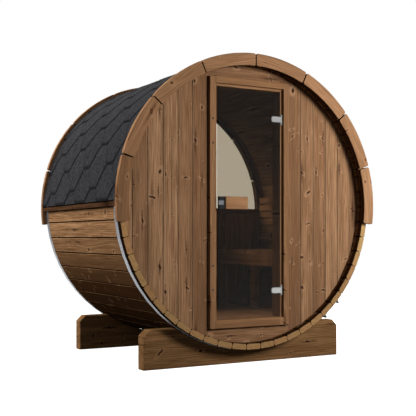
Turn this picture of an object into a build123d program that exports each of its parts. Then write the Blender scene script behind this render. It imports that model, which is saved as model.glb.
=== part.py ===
from build123d import *
import os
from math import cos, degrees, radians, sin, sqrt, tan

# Barrel sauna: a lying barrel of staves on two cradles, a framed glass door in the front wall, a half-moon
# window in the rear wall, benches inside, and a shingled roof over the top half.
# Millimetres. The origin is on the ground under the middle of the barrel, +Z is up, the barrel lies along Y
# and the door faces -Y. Depths are measured back from the front ends of the staves, heights from the barrel's
# axis, and the helper functions turn both into the part's frame.

# Clearances
FIT_GAP = 0.3
CUT_OVERRUN = 5.0

# Barrel of staves, with a tongue on one edge and a groove on the other
BARREL_RADIUS = 1000.0
BARREL_LENGTH = 1444.0
STAVE_COUNT = 54
STAVES_PER_NODE = 9
STAVE_THICKNESS = 42.0
STAVE_GAP = 0.4
STAVE_BEVEL = 4.5
STAVE_TONGUE = 7.0
TONGUE_ROOT_SHARE = 0.30
TONGUE_TIP_SHARE = 0.38
CROZE_DEPTH = 12.0

# Cradles
CRADLE_UNDER_BARREL = 98.0
CRADLE_LENGTH = 1575.0
CRADLE_HEIGHT = 263.0
CRADLE_THICKNESS = 88.0
CRADLE_CHAMFER = 43.0
CRADLE_INSET = 90.0

# Steel bands and their screw tensioners
BAND_THICKNESS = 1.5
BAND_WIDTH = 44.0
BAND_FRONT_INSET = 40.0
BAND_REAR_INSET = 8.0
TENSIONER_STAVE_COUNT = 7
TENSIONER_SPAN = 150.0
TENSIONER_EAR_HEIGHT = 50.0
TENSIONER_EAR_THICKNESS = 10.0
TENSIONER_EAR_WIDTH = 22.0
TENSIONER_ROD_LIFT = 30.0
TENSIONER_ROD_RADIUS = 5.0
TENSIONER_HEAD_RADIUS = 9.0
TENSIONER_HEAD_LENGTH = 8.0

# End walls of upright boards
WALL_RECESS = 62.0
WALL_THICKNESS = 42.0
WALL_BOARD_WIDTH = 110.0
WALL_GROOVE_WIDTH = 8.0
WALL_GROOVE_DEPTH = 4.0

HEADER_HEIGHT = 96.0
SILL_BOARD_HEIGHT = 112.0

# Door frame
FRAME_HALF_WIDTH = 320.0
FRAME_FACE = 43.0
FRAME_THRESHOLD_HEIGHT = 55.0
FRAME_PROUD = 24.0
FRAME_DEPTH = 120.0
FRAME_REBATE_DEPTH = 21.0
FRAME_LIP = 18.0
SHADOW_GAP = 10.0
SHADOW_GAP_DEPTH = 10.0

# Glass door leaf
GLASS_THICKNESS = 8.0
DOOR_CLEARANCE = 5.0

# Door hinges
HINGE_FROM_GLASS_TOP = 193.0
HINGE_FROM_GLASS_BOTTOM = 185.0
HINGE_PIN_RADIUS = 3.0
HINGE_PIN_PLAY = 0.05
HINGE_KNUCKLE_RADIUS = 6.0
HINGE_KNUCKLE_LENGTH = 40.0
HINGE_END_KNUCKLE_LENGTH = 14.0
HINGE_PLATE_HEIGHT = 71.0
HINGE_PLATE_THICKNESS = 3.7
HINGE_PLATE_WIDTH = 15.0
HINGE_PIN_BEYOND_GLASS = 8.0
HINGE_PIN_BEFORE_GLASS = 2.0
CLAMP_HEIGHT = 38.0
CLAMP_REACH = 77.0
CLAMP_PLATE = 8.0
CLAMP_CORNER = 17.0
CLAMP_EDGE = 1.7

# Door handle and latch
HANDLE_HEIGHT = 87.0
HANDLE_LENGTH = 176.0
HANDLE_DEPTH = 32.0
HANDLE_FROM_EDGE = 46.0
HANDLE_MIDDLE = 7.0
HANDLE_EASE = 5.0
HANDLE_BOLT_RADIUS = 5.0
HANDLE_BOLT_PITCH = 96.0
LATCH_MARGIN = 1.0
LATCH_THICKNESS = 20.0
LATCH_BOLT_HEIGHT = 29.0
LATCH_BOLT_LENGTH = 40.0
LATCH_BOLT_THICKNESS = 8.0
LATCH_BOLT_THROW = 8.0
LATCH_BOLT_EASE = 3.0

# Rear window
WINDOW_FRAME_WIDTH = 45.0
WINDOW_BOTTOM = 20.0
WINDOW_SILL_HEIGHT = 45.0
WINDOW_SLOT_DEPTH = 12.0
WINDOW_GLASS_THICKNESS = 8.0
WINDOW_GLASS_SETBACK = 8.0
WINDOW_ARCH_PIECES = 6

# Floor
FLOOR_ABOVE_THRESHOLD = 1.0
FLOOR_THICKNESS = 26.0
FLOOR_PITCH = 132.0
FLOOR_BOARD_GAP = 6.0
FLOOR_BOARD_COUNT = 9
FLOOR_BEARER_WIDTH = 45.0
FLOOR_BEARER_HEIGHT = 60.0
FLOOR_BEARER_COUNT = 3

# Benches
SEAT_HEIGHT = 460.0
SEAT_THICKNESS = 26.0
SEAT_WALL_GAP = 7.0
SEAT_BOARD_COUNT = 4
SEAT_BOARD_WIDTH = 86.0
SEAT_BOARD_GAP = 9.0
FRONT_BOARD_THICKNESS = 28.0
FRONT_BOARD_HEIGHT = 120.0
SEAT_BEARER_WIDTH = 45.0
SEAT_BEARER_HEIGHT = 60.0
SEAT_BEARER_SHARES = (0.08, 0.58, 0.92)
SEAT_LEG_SHARE = 0.58
SEAT_LEG_WIDTH = 70.0
SEAT_LEG_THICKNESS = 40.0
BACKREST_RISE = 446.0
BACKREST_STAND_OFF = 5.0
BACKREST_SLATS = 6
BACKREST_PITCH = 61.0
BACKREST_SLAT_HEIGHT = 50.0
BACKREST_SLAT_THICKNESS = 18.0
BACKREST_BATTEN_WIDTH = 45.0
BACKREST_BATTEN_SHARES = (0.12, 0.5, 0.88)
BACKREST_END_GAP = 10.0

# Roof
COVERING_THICKNESS = 6.0
COVERING_TANGENT_ANGLE = 13.0
COVERING_EDGE_HEIGHT = 8.0
BATTEN_WIDTH = 27.0
BATTEN_HEIGHT = 30.0
BATTEN_END_GAP = 4.0
TRIM_OVERHANG = 30.0
TRIM_WIDTH = 85.0
TRIM_THICKNESS = 35.0
TRIM_PIECES = 8
TRIM_PIECE_ANGLE = 24.4
TRIM_PIECE_GAP = 6.5
TRIM_CORNER = 10.0

# Worked out from the sizes above
AXIS_HEIGHT = BARREL_RADIUS + CRADLE_UNDER_BARREL
FRONT_Y = -BARREL_LENGTH / 2
STAVE_ANGLE = 360.0 / STAVE_COUNT
HALF_ANGLE = radians(STAVE_ANGLE / 2)
STAVE_OUTER = BARREL_RADIUS * cos(HALF_ANGLE)
STAVE_INNER = STAVE_OUTER - STAVE_THICKNESS
WALL_RADIUS = STAVE_INNER + CROZE_DEPTH - FIT_GAP
ROOM_RADIUS = STAVE_INNER - FIT_GAP
WALL_BACK = WALL_RECESS + WALL_THICKNESS
REAR_WALL_FRONT = BARREL_LENGTH - WALL_BACK
REAR_WALL_BACK = BARREL_LENGTH - WALL_RECESS
FRAME_TOP = WALL_RADIUS - HEADER_HEIGHT - SHADOW_GAP
FRAME_BOTTOM = SILL_BOARD_HEIGHT + SHADOW_GAP - WALL_RADIUS
FRAME_FRONT = WALL_RECESS - FRAME_PROUD
FRAME_BACK = FRAME_FRONT + FRAME_DEPTH
LIP_FRONT = FRAME_FRONT + FRAME_REBATE_DEPTH
FRAME_INNER = FRAME_HALF_WIDTH - FRAME_FACE
LIP_INNER = FRAME_INNER - FRAME_LIP
LIP_TOP = FRAME_TOP - FRAME_FACE - FRAME_LIP
THRESHOLD_TOP = FRAME_BOTTOM + FRAME_THRESHOLD_HEIGHT
WALL_DOOR_EDGE = FRAME_HALF_WIDTH + SHADOW_GAP
WALL_DOOR_TOP = FRAME_TOP + SHADOW_GAP
WALL_DOOR_BOTTOM = FRAME_BOTTOM - SHADOW_GAP
GLASS_BACK = LIP_FRONT
GLASS_FRONT = GLASS_BACK - GLASS_THICKNESS
GLASS_HALF_WIDTH = LIP_INNER - DOOR_CLEARANCE
GLASS_TOP = LIP_TOP - DOOR_CLEARANCE
GLASS_BOTTOM = THRESHOLD_TOP + DOOR_CLEARANCE
HINGE_X = GLASS_HALF_WIDTH + HINGE_PIN_BEYOND_GLASS
HINGE_DEPTH = GLASS_FRONT - HINGE_PIN_BEFORE_GLASS
HINGE_HEIGHTS = (GLASS_TOP - HINGE_FROM_GLASS_TOP, GLASS_BOTTOM + HINGE_FROM_GLASS_BOTTOM)
WINDOW_RADIUS = STAVE_INNER - WINDOW_FRAME_WIDTH
FLOOR_TOP = THRESHOLD_TOP + FLOOR_ABOVE_THRESHOLD
SEAT_TOP = FLOOR_TOP + SEAT_HEIGHT
SEAT_WALL = sqrt(ROOM_RADIUS**2 - (SEAT_TOP - SEAT_THICKNESS)**2)
SEAT_WIDTH = SEAT_BOARD_COUNT * (SEAT_BOARD_WIDTH + SEAT_BOARD_GAP) - SEAT_BOARD_GAP
SEAT_BOARDS_START = SEAT_WALL - SEAT_WALL_GAP - SEAT_WIDTH
SEAT_FRONT = SEAT_BOARDS_START - FIT_GAP - FRONT_BOARD_THICKNESS
BACKREST_TOP = SEAT_TOP + BACKREST_RISE
BACKREST_BOTTOM = BACKREST_TOP - BACKREST_SLATS * BACKREST_PITCH
BACKREST_REACH = max(abs(BACKREST_TOP), abs(BACKREST_BOTTOM))
BACKREST_BACK = sqrt(ROOM_RADIUS**2 - BACKREST_REACH**2) - BACKREST_STAND_OFF
BACKREST_FACE = BACKREST_BACK - BACKREST_SLAT_THICKNESS
TRIM_OUTER_RADIUS = BARREL_RADIUS + TRIM_OVERHANG
TRIM_INNER_RADIUS = TRIM_OUTER_RADIUS - TRIM_WIDTH


def block(x0, x1, depth0, depth1, z0, z1):
    """A squared timber between two X places, two depths and two heights."""
    middle = Pos((x0 + x1) / 2, FRONT_Y + (depth0 + depth1) / 2, AXIS_HEIGHT + (z0 + z1) / 2)
    return middle * Box(abs(x1 - x0), abs(depth1 - depth0), abs(z1 - z0))


def slab(face, depth0, depth1):
    """A face drawn across the barrel, X by height above the axis, made solid between two depths."""
    plane = Plane(origin=(0, FRONT_Y + depth1, AXIS_HEIGHT), x_dir=(1, 0, 0), z_dir=(0, -1, 0))
    return extrude(plane * face, amount=depth1 - depth0)


def upright(radius, x, depth, z0, z1):
    """A round bar standing along Z."""
    place = Pos(x, FRONT_Y + depth, AXIS_HEIGHT + (z0 + z1) / 2)
    return place * Cylinder(radius, z1 - z0)


def through_bar(radius, x, depth0, depth1, z):
    """A round bar lying along Y."""
    place = Pos(x, FRONT_Y + (depth0 + depth1) / 2, AXIS_HEIGHT + z)
    return place * Rot(90, 0, 0) * Cylinder(radius, depth1 - depth0)


def arc_face(inner, outer, start, end):
    """Sector of a ring between two radii and two angles, in degrees up from +X."""
    span = end - start
    low = (cos(radians(start)), sin(radians(start)))
    high = (cos(radians(end)), sin(radians(end)))
    return make_face([
        CenterArc((0, 0), outer, start, span),
        Line((outer * high[0], outer * high[1]), (inner * high[0], inner * high[1])),
        CenterArc((0, 0), inner, start, span),
        Line((inner * low[0], inner * low[1]), (outer * low[0], outer * low[1])),
    ])


def rectangle(x0, x1, z0, z1):
    """Rectangle across the barrel between two X places and two heights."""
    return Pos((x0 + x1) / 2, (z0 + z1) / 2) * Rectangle(abs(x1 - x0), abs(z1 - z0))


def save(node, shapes):
    """Write one node, with each of its pieces as a solid of its own."""
    solids = [solid for shape in shapes for solid in shape.solids()]
    export_step(solids[0] if len(solids) == 1 else Compound(solids), f"parts/{node}.step")


def save_both(node, shapes):
    """Write the right side's node and, with the same pieces mirrored, the left side's."""
    save(node.format("right"), shapes)
    save(node.format("left"), [mirror(shape, about=Plane.YZ) for shape in shapes])


def stave():
    """The stave at the top of the barrel, with a tongue on its right edge and a groove on its left."""
    def edge(height):
        return height * tan(HALF_ANGLE) - STAVE_GAP / 2

    root = TONGUE_ROOT_SHARE * STAVE_THICKNESS
    tip = TONGUE_TIP_SHARE * STAVE_THICKNESS
    tongue_x = STAVE_TONGUE * cos(HALF_ANGLE)
    tongue_z = STAVE_TONGUE * sin(HALF_ANGLE)
    sides = []
    for side in (1, -1):
        sides.append([
            (side * (edge(STAVE_OUTER) - STAVE_BEVEL), STAVE_OUTER),
            (side * edge(STAVE_OUTER - STAVE_BEVEL), STAVE_OUTER - STAVE_BEVEL),
            (side * edge(STAVE_OUTER - root), STAVE_OUTER - root),
            (side * edge(STAVE_OUTER - tip) + tongue_x, STAVE_OUTER - tip - side * tongue_z),
            (side * edge(STAVE_INNER + tip) + tongue_x, STAVE_INNER + tip - side * tongue_z),
            (side * edge(STAVE_INNER + root), STAVE_INNER + root),
            (side * edge(STAVE_INNER), STAVE_INNER),
        ])
    board = slab(make_face(Polyline(*sides[0], *reversed(sides[1]), close=True)), 0, BARREL_LENGTH)
    for depth0, depth1 in ((WALL_RECESS, WALL_BACK), (REAR_WALL_FRONT, REAR_WALL_BACK)):
        board -= block(-BARREL_RADIUS, BARREL_RADIUS, depth0 - FIT_GAP, depth1 + FIT_GAP,
                       STAVE_INNER - CUT_OVERRUN, STAVE_INNER + CROZE_DEPTH)
    return board


def stave_groups():
    """Six nodes of nine staves, clockwise from the top as seen from the door."""
    names = ("top", "upper_right", "lower_right", "bottom", "lower_left", "upper_left")
    first = stave()
    axis = Pos(0, 0, AXIS_HEIGHT)
    for group, name in enumerate(names):
        start = group * STAVES_PER_NODE - STAVES_PER_NODE // 2
        turns = [(start + index) * STAVE_ANGLE for index in range(STAVES_PER_NODE)]
        save(f"staves_{name}", [axis * Rot(0, turn, 0) * axis.inverse() * first for turn in turns])


def cradles():
    """Planks on edge, with chamfered shoulders and the barrel's arc cut out of the top."""
    half = CRADLE_LENGTH / 2
    top = CRADLE_HEIGHT - AXIS_HEIGHT
    shoulder = top - CRADLE_CHAMFER
    right = [(half, -AXIS_HEIGHT), (half, shoulder), (half - CRADLE_CHAMFER, top)]
    left = [(-x, z) for x, z in reversed(right)]
    face = make_face(Polyline(*right, *left, close=True)) - Circle(BARREL_RADIUS + FIT_GAP)
    rear_inset = BARREL_LENGTH - CRADLE_INSET - CRADLE_THICKNESS
    for name, depth in (("front", CRADLE_INSET), ("rear", rear_inset)):
        save(f"cradle_{name}", [slab(face, depth, depth + CRADLE_THICKNESS)])


def bands():
    """Flat steel hoops near both ends, bent at each stave joint, drawn tight by a rod between two ears."""
    inner = BARREL_RADIUS + FIT_GAP
    outer = inner + BAND_THICKNESS
    hoop = RegularPolygon(outer, STAVE_COUNT) - RegularPolygon(inner, STAVE_COUNT)
    rear = BARREL_LENGTH - BAND_REAR_INSET - BAND_WIDTH
    tensioners = []
    for name, depth in (("front", BAND_FRONT_INSET), ("rear", rear)):
        save(f"band_{name}", [slab(hoop, depth, depth + BAND_WIDTH)])
        middle = depth + BAND_WIDTH / 2
        base = Pos(0, FRONT_Y + middle, AXIS_HEIGHT) * Rot(0, TENSIONER_STAVE_COUNT * STAVE_ANGLE, 0)
        half = TENSIONER_SPAN / 2
        foot = outer - (half - TENSIONER_EAR_THICKNESS / 2) * tan(HALF_ANGLE) + FIT_GAP
        rod_radius = foot + TENSIONER_ROD_LIFT
        ear_radius = foot + TENSIONER_EAR_HEIGHT / 2
        ear = Box(TENSIONER_EAR_HEIGHT, TENSIONER_EAR_WIDTH, TENSIONER_EAR_THICKNESS)
        rod = Pos(rod_radius, 0, 0) * Cylinder(TENSIONER_ROD_RADIUS, TENSIONER_SPAN)
        head = extrude(RegularPolygon(TENSIONER_HEAD_RADIUS, 6), amount=TENSIONER_HEAD_LENGTH / 2, both=True)
        piece = rod
        for side in (1, -1):
            piece += Pos(ear_radius, 0, side * half) * ear
            head_place = half + (TENSIONER_EAR_THICKNESS + TENSIONER_HEAD_LENGTH) / 2
            piece += Pos(rod_radius, 0, side * head_place) * head
        tensioners.append(base * piece)
    save("band_tensioners", tensioners)


def grooved(wall, depth, inward):
    """An upright-boarded wall with a V groove at each board joint on its outer face."""
    edge = WALL_DOOR_EDGE % WALL_BOARD_WIDTH
    count = int(2 * WALL_RADIUS / WALL_BOARD_WIDTH)
    over = FRONT_Y + depth - inward * WALL_GROOVE_DEPTH
    point = FRONT_Y + depth + inward * WALL_GROOVE_DEPTH
    low = AXIS_HEIGHT - WALL_RADIUS - CUT_OVERRUN
    cuts = []
    for index in range(-count, count):
        x = edge + index * WALL_BOARD_WIDTH
        left, right = x - WALL_GROOVE_WIDTH, x + WALL_GROOVE_WIDTH
        notch = make_face(Polyline((left, over), (right, over), (x, point), close=True))
        cuts.append(Pos(0, 0, low) * extrude(notch, amount=2 * (WALL_RADIUS + CUT_OVERRUN)))
    return wall - cuts


def front_wall():
    """Upright boards beside the door, a curved header board over it and a sill board under it."""
    disc = Circle(WALL_RADIUS)
    reach = WALL_RADIUS
    right = slab(disc & rectangle(WALL_DOOR_EDGE, reach, -reach, reach), WALL_RECESS, WALL_BACK)
    right = grooved(right, WALL_RECESS, 1)
    save_both("front_wall_{}", [right])
    half = WALL_DOOR_EDGE - FIT_GAP
    header = disc & rectangle(-half, half, WALL_DOOR_TOP, reach)
    save("front_wall_header", [slab(header, WALL_RECESS, WALL_BACK)])
    sill = disc & rectangle(-half, half, -reach, WALL_DOOR_BOTTOM)
    save("front_wall_sill_board", [slab(sill, WALL_RECESS, WALL_BACK)])


def door_frame():
    """Deep jambs, head and threshold, rebated for the leaf, with a shadow gap round the proud front edge."""
    outer = WALL_DOOR_EDGE - FIT_GAP
    bottom = WALL_DOOR_BOTTOM + FIT_GAP
    top = WALL_DOOR_TOP - FIT_GAP
    gap_front = FRAME_FRONT - CUT_OVERRUN
    gap_back = WALL_RECESS + SHADOW_GAP_DEPTH
    gap = block(-outer - CUT_OVERRUN, outer + CUT_OVERRUN, gap_front, gap_back,
                bottom - CUT_OVERRUN, top + CUT_OVERRUN)
    gap -= block(-FRAME_HALF_WIDTH, FRAME_HALF_WIDTH, gap_front, gap_back, FRAME_BOTTOM, FRAME_TOP)
    jamb = block(LIP_INNER, outer, FRAME_FRONT, FRAME_BACK, bottom, top)
    jamb -= block(LIP_INNER - CUT_OVERRUN, FRAME_INNER, FRAME_FRONT - CUT_OVERRUN, LIP_FRONT,
                  bottom - CUT_OVERRUN, top + CUT_OVERRUN)
    jamb -= gap
    save_both("door_jamb_{}", [jamb])
    back_half = LIP_INNER - FIT_GAP
    front_half = FRAME_INNER - FIT_GAP
    head = block(-back_half, back_half, LIP_FRONT, FRAME_BACK, LIP_TOP, top)
    head += block(-front_half, front_half, FRAME_FRONT, LIP_FRONT, LIP_TOP + FRAME_LIP, top)
    save("door_head", [head - gap])
    threshold = block(-back_half, back_half, LIP_FRONT, FRAME_BACK, bottom, THRESHOLD_TOP)
    threshold += block(-front_half, front_half, FRAME_FRONT, LIP_FRONT, bottom, THRESHOLD_TOP)
    save("door_threshold", [threshold - gap])


def handle_places():
    """X of the two bolts that hold the handle through the glass."""
    middle = HANDLE_FROM_EDGE + HANDLE_LENGTH / 2 - GLASS_HALF_WIDTH
    return [middle + side * HANDLE_BOLT_PITCH / 2 for side in (-1, 1)]


def door_leaf():
    """A sheet of bronze glass in two edge clamps, with a wooden grip on each face and a latch."""
    glass = block(-GLASS_HALF_WIDTH, GLASS_HALF_WIDTH, GLASS_FRONT, GLASS_BACK, GLASS_BOTTOM, GLASS_TOP)
    grip_start = HANDLE_FROM_EDGE - GLASS_HALF_WIDTH
    grip_low = HANDLE_MIDDLE - HANDLE_HEIGHT / 2
    grip_high = HANDLE_MIDDLE + HANDLE_HEIGHT / 2
    grip_face = rectangle(grip_start, grip_start + HANDLE_LENGTH, grip_low, grip_high)
    grip_face = chamfer(grip_face.vertices(), HANDLE_EASE)
    handle = slab(grip_face, GLASS_FRONT - FIT_GAP - HANDLE_DEPTH, GLASS_FRONT - FIT_GAP)
    handle += slab(grip_face, GLASS_BACK + FIT_GAP, GLASS_BACK + FIT_GAP + HANDLE_DEPTH)
    bolt_ends = (GLASS_FRONT - HANDLE_DEPTH / 2, GLASS_BACK + HANDLE_DEPTH / 2)
    hole_ends = (GLASS_FRONT - CUT_OVERRUN, GLASS_BACK + CUT_OVERRUN)
    for x in handle_places():
        handle += through_bar(HANDLE_BOLT_RADIUS, x, *bolt_ends, HANDLE_MIDDLE)
        glass -= through_bar(HANDLE_BOLT_RADIUS + FIT_GAP, x, *hole_ends, HANDLE_MIDDLE)
    save("door_glass", [glass])
    save("door_handle", [handle])
    latch_front = GLASS_FRONT - FIT_GAP - LATCH_THICKNESS
    latch = block(LATCH_MARGIN - GLASS_HALF_WIDTH, grip_start - FIT_GAP, latch_front, GLASS_FRONT - FIT_GAP,
                  grip_low + LATCH_MARGIN, grip_high - LATCH_MARGIN)
    save("door_latch", [latch])
    bolt_start = -GLASS_HALF_WIDTH - LATCH_BOLT_THROW
    bolt_low, bolt_high = HANDLE_MIDDLE - LATCH_BOLT_HEIGHT / 2, HANDLE_MIDDLE + LATCH_BOLT_HEIGHT / 2
    bolt_face = rectangle(bolt_start, bolt_start + LATCH_BOLT_LENGTH, bolt_low, bolt_high)
    bolt_face = chamfer(bolt_face.vertices(), LATCH_BOLT_EASE)
    bolt_back = latch_front - FIT_GAP
    save("door_latch_bolt", [slab(bolt_face, bolt_back - LATCH_BOLT_THICKNESS, bolt_back)])
    clamps = []
    plates = []
    for height in HINGE_HEIGHTS:
        clamps.append(hinge_clamp(height))
        plates.append(hinge_plate(height))
    save("door_hinge_clamps", clamps)
    save("door_hinge_plates", plates)


def hinge_clamp(height):
    """The moving half of a hinge: two D-shaped cheeks over the edge of the glass and a bored knuckle."""
    inner = GLASS_HALF_WIDTH - CLAMP_REACH
    outer = GLASS_HALF_WIDTH + CLAMP_EDGE
    half = CLAMP_HEIGHT / 2
    cheek = rectangle(inner, outer, height - half, height + half)
    corners = cheek.vertices().sort_by(Axis.X)[:2]
    cheek = fillet(corners, CLAMP_CORNER)
    slot_front, slot_back = GLASS_FRONT - FIT_GAP, GLASS_BACK + FIT_GAP
    body = slab(cheek, slot_front - CLAMP_PLATE, slot_back + CLAMP_PLATE)
    body -= block(inner - CUT_OVERRUN, GLASS_HALF_WIDTH + FIT_GAP, slot_front, slot_back,
                  height - half - CUT_OVERRUN, height + half + CUT_OVERRUN)
    low = height - HINGE_KNUCKLE_LENGTH / 2
    high = height + HINGE_KNUCKLE_LENGTH / 2
    body += upright(HINGE_KNUCKLE_RADIUS, HINGE_X, HINGE_DEPTH, low, high)
    web = (HINGE_DEPTH - CLAMP_PLATE / 2, HINGE_DEPTH + CLAMP_PLATE / 2)
    body += block(GLASS_HALF_WIDTH, HINGE_X, *web, low, high)
    bore = HINGE_PIN_RADIUS + HINGE_PIN_PLAY
    return body - upright(bore, HINGE_X, HINGE_DEPTH, low - CUT_OVERRUN, high + CUT_OVERRUN)


def hinge_plate(height):
    """The fixed half of a hinge: a plate on the lip of the frame, two knuckles and the pin."""
    half = HINGE_PLATE_HEIGHT / 2
    plate_front = LIP_FRONT - FIT_GAP - HINGE_PLATE_THICKNESS
    plate_edge = HINGE_X + HINGE_PLATE_WIDTH
    plate = block(HINGE_X, plate_edge, plate_front, LIP_FRONT - FIT_GAP, height - half, height + half)
    inner = HINGE_KNUCKLE_LENGTH / 2 + FIT_GAP
    outer = inner + HINGE_END_KNUCKLE_LENGTH
    for side in (1, -1):
        ends = sorted((height + side * inner, height + side * outer))
        plate += upright(HINGE_KNUCKLE_RADIUS, HINGE_X, HINGE_DEPTH, *ends)
        plate += block(HINGE_X, HINGE_X + HINGE_KNUCKLE_RADIUS, HINGE_DEPTH, plate_front, *ends)
    return plate + upright(HINGE_PIN_RADIUS, HINGE_X, HINGE_DEPTH, height - outer, height + outer)


def rear_wall():
    """Upright boards up to the window's sill, then a half-moon pane held in a slotted sill and arch."""
    reach = WALL_RADIUS
    sill_low = WINDOW_BOTTOM - WINDOW_SILL_HEIGHT
    boards = Circle(reach) & rectangle(-reach, reach, -reach, sill_low - FIT_GAP)
    wall = slab(boards, REAR_WALL_FRONT, REAR_WALL_BACK)
    save("rear_wall", [grooved(wall, REAR_WALL_BACK, -1)])
    pane_front = REAR_WALL_FRONT + WINDOW_GLASS_SETBACK
    pane_back = pane_front + WINDOW_GLASS_THICKNESS
    pane_bottom = WINDOW_BOTTOM - WINDOW_SLOT_DEPTH + FIT_GAP
    pane_face = Circle(WINDOW_RADIUS + WINDOW_SLOT_DEPTH - FIT_GAP)
    pane_face &= rectangle(-reach, reach, pane_bottom, reach)
    save("rear_window_glass", [slab(pane_face, pane_front, pane_back)])
    slot_face = Circle(WINDOW_RADIUS + WINDOW_SLOT_DEPTH)
    slot_face &= rectangle(-reach, reach, WINDOW_BOTTOM - WINDOW_SLOT_DEPTH, reach)
    slot = slab(slot_face, pane_front - FIT_GAP, pane_back + FIT_GAP)
    sill = Circle(reach) & rectangle(-reach, reach, sill_low, WINDOW_BOTTOM)
    save("rear_window_sill", [slab(sill, REAR_WALL_FRONT, REAR_WALL_BACK) - slot])
    span = 180.0 / WINDOW_ARCH_PIECES
    above = rectangle(-reach, reach, WINDOW_BOTTOM + FIT_GAP, reach)
    joint = rectangle(0, reach, 0, FIT_GAP)
    pieces = []
    for index in range(WINDOW_ARCH_PIECES):
        start = index * span
        sector = (arc_face(WINDOW_RADIUS, reach, start, start + span) & above) - Rot(0, 0, start) * joint
        pieces.append(slab(sector, REAR_WALL_FRONT, REAR_WALL_BACK) - slot)
    save("rear_window_arch", pieces)


def floor():
    """Boards laid along the barrel on cross bearers, both scribed to the staves."""
    tube = slab(Circle(ROOM_RADIUS), 0, BARREL_LENGTH)
    low = FLOOR_TOP - FLOOR_THICKNESS
    boards = []
    first = -(FLOOR_BOARD_COUNT - 1) / 2 * FLOOR_PITCH
    half = (FLOOR_PITCH - FLOOR_BOARD_GAP) / 2
    for index in range(FLOOR_BOARD_COUNT):
        x = first + index * FLOOR_PITCH
        start = FRAME_BACK if abs(x) < WALL_DOOR_EDGE else WALL_BACK
        board = block(x - half, x + half, start + FIT_GAP, REAR_WALL_FRONT - FIT_GAP, low, FLOOR_TOP)
        boards.append(board & tube)
    save("floor_boards", boards)
    bearers = []
    room = REAR_WALL_FRONT - FRAME_BACK
    for index in range(FLOOR_BEARER_COUNT):
        start = FRAME_BACK + (room - FLOOR_BEARER_WIDTH) * (index + 1) / (FLOOR_BEARER_COUNT + 1)
        bearer = block(-BARREL_RADIUS, BARREL_RADIUS, start, start + FLOOR_BEARER_WIDTH,
                       low - FIT_GAP - FLOOR_BEARER_HEIGHT, low - FIT_GAP)
        bearers.append(bearer & tube)
    save("floor_bearers", bearers)


def benches():
    """A slatted seat on bearers with a front board and a leg, and a slatted backrest, on each side."""
    tube = slab(Circle(ROOM_RADIUS), 0, BARREL_LENGTH)
    start = WALL_BACK + FIT_GAP
    end = REAR_WALL_FRONT - FIT_GAP
    low = SEAT_TOP - SEAT_THICKNESS
    seat = []
    for index in range(SEAT_BOARD_COUNT):
        x = SEAT_BOARDS_START + index * (SEAT_BOARD_WIDTH + SEAT_BOARD_GAP)
        seat.append(block(x, x + SEAT_BOARD_WIDTH, start, end, low, SEAT_TOP))
    front = [block(SEAT_FRONT, SEAT_FRONT + FRONT_BOARD_THICKNESS, start, end,
                   SEAT_TOP - FRONT_BOARD_HEIGHT, SEAT_TOP)]
    supports = []
    bearer_top = low - FIT_GAP
    bearer_low = bearer_top - SEAT_BEARER_HEIGHT
    for share in SEAT_BEARER_SHARES:
        middle = start + share * (end - start)
        bearer = block(SEAT_BOARDS_START, BARREL_RADIUS, middle - SEAT_BEARER_WIDTH / 2,
                       middle + SEAT_BEARER_WIDTH / 2, bearer_low, bearer_top)
        supports.append(bearer & tube)
    middle = start + SEAT_LEG_SHARE * (end - start)
    leg = block(SEAT_BOARDS_START, SEAT_BOARDS_START + SEAT_LEG_THICKNESS, middle - SEAT_LEG_WIDTH / 2,
                middle + SEAT_LEG_WIDTH / 2, FLOOR_TOP + FIT_GAP, bearer_low - FIT_GAP)
    supports.append(leg & tube)
    back = []
    back_start = WALL_BACK + BACKREST_END_GAP
    back_end = REAR_WALL_FRONT - BACKREST_END_GAP
    for index in range(BACKREST_SLATS):
        top = BACKREST_TOP - index * BACKREST_PITCH
        slat_low = top - BACKREST_SLAT_HEIGHT
        back.append(block(BACKREST_FACE, BACKREST_BACK, back_start, back_end, slat_low, top))
    batten_face = BACKREST_BACK + FIT_GAP
    for share in BACKREST_BATTEN_SHARES:
        middle = back_start + share * (back_end - back_start)
        batten = block(batten_face, BARREL_RADIUS, middle - BACKREST_BATTEN_WIDTH / 2,
                       middle + BACKREST_BATTEN_WIDTH / 2, BACKREST_BOTTOM, BACKREST_TOP)
        back.append(batten & tube)
    save_both("bench_{}_seat", seat)
    save_both("bench_{}_front_board", front)
    save_both("bench_{}_supports", supports)
    save_both("backrest_{}", back)


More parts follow.
